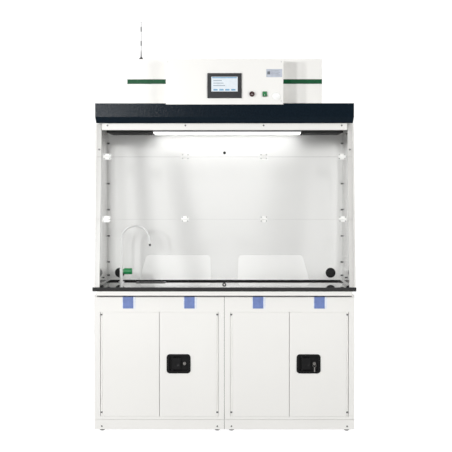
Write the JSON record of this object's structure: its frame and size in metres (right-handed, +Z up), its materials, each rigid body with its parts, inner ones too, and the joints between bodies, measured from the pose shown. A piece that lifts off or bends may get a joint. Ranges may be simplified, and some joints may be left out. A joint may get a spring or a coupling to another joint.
{
  "type": "fume hood",
  "caption": "Free-standing ductless fume hood: leaning folding acrylic sash with arm ports, black worktop with sink and tap, filter housing with touch panel, on locking base cabinets.",
  "frame": {"origin": "on the floor, at the middle of the width and depth", "axes": "+Z up, the front faces -Y, +X to the right as seen from the front"},
  "size_m": [1.52, 0.72, 2.395],
  "materials": {
    "white_steel": "warm white powder coat, satin",
    "white_board": "white phenolic board, satin",
    "navy_hammer_paint": "navy hammered powder coat",
    "black_worktop": "polished black phenolic resin",
    "black_polypropylene": "moulded black",
    "black_plastic": "fine grained moulding",
    "black_plastic_foot": "moulded nylon with a zinc stem",
    "black_rubber": "matte",
    "dark_plastic": "satin moulding",
    "clear_acrylic": "clear, polished edges",
    "hinge_plastic": "white moulding",
    "white_epoxy_brass": "white epoxy on brass, gloss",
    "white_plastic": "gloss moulding",
    "green_plastic": "gloss moulding",
    "green_lens": "translucent gloss",
    "red_plastic": "gloss moulding",
    "dark_steel": "blackened",
    "zinc_steel": "zinc plated",
    "nickel": "nickel plated",
    "galvanised_fan": "galvanised sheet",
    "grey_aluminium": "satin anodised",
    "lamp_light": "opal diffuser, lit",
    "filter_media": "black pleated media",
    "green_vinyl": "gloss strip",
    "blue_card": "matte card",
    "antenna_black": "black plastic and dark steel",
    "screen_glass": "lit display",
    "blue_grey_plate": "satin plate"
  },
  "bodies": {
    "hood": {"leveling_feet": "black_plastic_foot", "left_cabinet_carcass": "white_steel", "right_cabinet_carcass": "white_steel", "door_pivot_pins": "dark_steel", "worktop_frame": "white_steel", "worktop": "black_worktop", "cup_sink": "black_polypropylene", "label_holders": "clear_acrylic", "label_cards": "blue_card", "tap_body": "white_epoxy_brass", "left_side_frame": "white_steel", "right_side_frame": "white_steel", "side_windows": "clear_acrylic", "front_posts": "white_steel", "back_wall": "white_board", "cable_grommets": "black_rubber", "header_rail": "white_steel", "plenum_deck": "white_steel", "fascia": "navy_hammer_paint", "panel_screws": "dark_steel", "sash_top_panel": "clear_acrylic", "sash_hinge_fixed_leaves": "hinge_plastic", "sash_catch": "dark_plastic", "lamp_housing": "grey_aluminium", "lamp_diffuser": "lamp_light", "filter_housing": "white_steel", "filters": "filter_media", "fan_motor": "zinc_steel", "accent_stripes": "green_vinyl", "antenna": "antenna_black", "power_inlet": "black_plastic", "control_box": "white_steel", "control_cover": "white_steel", "hmi_bezel": "black_plastic", "hmi_screen": "screen_glass", "sensor_cap": "white_plastic", "nameplate": "blue_grey_plate"},
    "left_outer_door": {"left_outer_door": "white_steel"},
    "left_inner_door": {"left_inner_door": "white_steel", "left_latch_housing": "black_plastic"},
    "right_inner_door": {"right_inner_door": "white_steel"},
    "right_outer_door": {"right_outer_door": "white_steel", "right_latch_housing": "black_plastic"},
    "left_latch_paddle": {"left_latch_paddle": "black_plastic"},
    "right_latch_paddle": {"right_latch_paddle": "black_plastic"},
    "left_latch_bolt": {"left_latch_bolt": "zinc_steel"},
    "right_latch_bolt": {"right_latch_bolt": "zinc_steel"},
    "left_lock_and_key": {"left_lock_and_key": "nickel"},
    "right_lock_and_key": {"right_lock_and_key": "nickel"},
    "sash_middle": {"sash_middle_panel": "clear_acrylic", "sash_hinge_middle_leaves": "hinge_plastic"},
    "sash_lower": {"sash_lower_panel": "clear_acrylic", "sash_hinge_lower_leaves": "hinge_plastic", "sash_knob": "dark_plastic"},
    "tap_spout": {"tap_spout": "white_epoxy_brass", "tap_nozzle": "dark_plastic"},
    "tap_handle": {"tap_handle": "green_plastic"},
    "stop_button": {"stop_button": "red_plastic"},
    "power_rocker": {"power_rocker": "green_lens"},
    "fan_impeller": {"fan_impeller": "galvanised_fan"}
  },
  "joints": [
    {"name": "left_outer_door_hinge", "type": "hinge", "parent": "hood", "child": "left_outer_door", "pos_m": [-0.709, -0.3375, 0.39], "axis": [0, 0, -1], "range_deg": [0, 105]},
    {"name": "left_inner_door_hinge", "type": "hinge", "parent": "hood", "child": "left_inner_door", "pos_m": [-0.041, -0.3375, 0.39], "axis": [0, 0, 1], "range_deg": [0, 92]},
    {"name": "right_inner_door_hinge", "type": "hinge", "parent": "hood", "child": "right_inner_door", "pos_m": [0.041, -0.3375, 0.39], "axis": [0, 0, -1], "range_deg": [0, 92]},
    {"name": "right_outer_door_hinge", "type": "hinge", "parent": "hood", "child": "right_outer_door", "pos_m": [0.709, -0.3375, 0.39], "axis": [0, 0, 1], "range_deg": [0, 105]},
    {"name": "left_paddle_pull", "type": "hinge", "parent": "left_inner_door", "child": "left_latch_paddle", "pos_m": [-0.301, -0.339, 0.392], "axis": [0, 0, -1], "range_deg": [0, 40], "stiffness_Nm_per_rad": 0.3},
    {"name": "left_bolt_slide", "type": "slide", "parent": "left_inner_door", "child": "left_latch_bolt", "axis": [1, 0, 0], "range_m": [0, 0.01201]},
    {"name": "left_key_turn", "type": "hinge", "parent": "left_inner_door", "child": "left_lock_and_key", "pos_m": [-0.23, -0.334, 0.392], "axis": [0, -1, 0], "range_deg": [0, 90]},
    {"name": "right_paddle_pull", "type": "hinge", "parent": "right_outer_door", "child": "right_latch_paddle", "pos_m": [0.449, -0.339, 0.392], "axis": [0, 0, -1], "range_deg": [0, 40], "stiffness_Nm_per_rad": 0.3},
    {"name": "right_bolt_slide", "type": "slide", "parent": "right_outer_door", "child": "right_latch_bolt", "axis": [1, 0, 0], "range_m": [0, 0.01201]},
    {"name": "right_key_turn", "type": "hinge", "parent": "right_outer_door", "child": "right_lock_and_key", "pos_m": [0.52, -0.334, 0.392], "axis": [0, -1, 0], "range_deg": [0, 90]},
    {"name": "sash_middle_hinge", "type": "hinge", "parent": "hood", "child": "sash_middle", "pos_m": [0, -0.21975, 1.59067], "axis": [-1, 0, 0], "range_deg": [0, 90]},
    {"name": "sash_lower_hinge", "type": "hinge", "parent": "sash_middle", "child": "sash_lower", "pos_m": [0, -0.28195, 1.22667], "axis": [1, 0, 0], "range_deg": [-178, 0]},
    {"name": "spout_swivel", "type": "hinge", "parent": "hood", "child": "tap_spout", "pos_m": [-0.633, 0.162, 0.92], "axis": [0, 0, 1], "range_deg": [-110, 40]},
    {"name": "tap_handle_turn", "type": "hinge", "parent": "hood", "child": "tap_handle", "pos_m": [-0.6, 0.162, 0.902], "axis": [1, 0, 0], "range_deg": [0, 90]},
    {"name": "stop_button_press", "type": "slide", "parent": "hood", "child": "stop_button", "axis": [0, 1, 0], "range_m": [0, 0.003], "stiffness_N_per_m": 400},
    {"name": "power_rocker_tilt", "type": "hinge", "parent": "hood", "child": "power_rocker", "pos_m": [0.235, -0.22, 1.955], "axis": [1, 0, 0], "range_deg": [0, 14]},
    {"name": "fan_spin", "type": "hinge", "parent": "hood", "child": "fan_impeller", "pos_m": [0, 0.12, 2.1], "axis": [0, 0, 1], "continuous": true}
  ],
  "couplings": [
    {"joint": "left_bolt_slide", "follows": "left_paddle_pull", "m_per_rad": 0.017189},
    {"joint": "right_bolt_slide", "follows": "right_paddle_pull", "m_per_rad": 0.017189}
  ]
}
